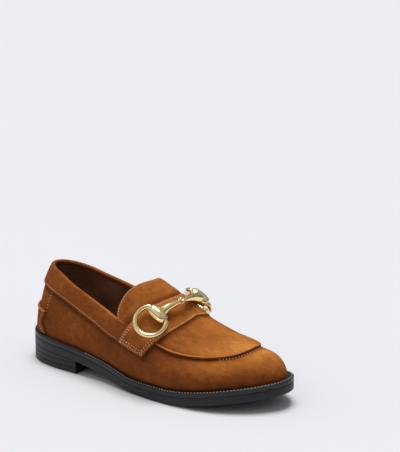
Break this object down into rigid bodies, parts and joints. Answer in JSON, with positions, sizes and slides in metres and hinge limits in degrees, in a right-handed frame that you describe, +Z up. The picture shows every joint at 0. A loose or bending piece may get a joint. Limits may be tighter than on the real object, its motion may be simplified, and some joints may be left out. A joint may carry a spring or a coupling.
{
  "type": "bit loafer",
  "caption": "Right suede bit loafer with a raised apron seam, saddle strap with a metal snaffle bit, free tongue and a welted sole with a low heel.",
  "frame": {"origin": "middle of the shoe's box, on the floor that it stands on", "axes": "+X from heel to toe, +Y to the inner side, +Z up"},
  "size_m": [0.27, 0.0964, 0.0903],
  "materials": {
    "suede": "tan suede with a brushed nap",
    "lining_leather": "smooth dark brown lining leather",
    "sole_rubber": "black with a satin sheen",
    "bit_metal": "polished pale gold plating"
  },
  "bodies": {
    "root": {"outsole": "sole_rubber", "welt": "sole_rubber", "heel_block": "sole_rubber", "heel_top_lift": "sole_rubber", "insole": "lining_leather", "upper": "suede", "collar_band": "suede", "backstay": "suede", "saddle_strap": "suede", "apron": "suede", "tongue": "suede", "bit_ring_lateral": "bit_metal", "bit_link_lateral": "bit_metal", "bit_ring_medial": "bit_metal", "bit_link_medial": "bit_metal"}
  },
  "joints": []
}
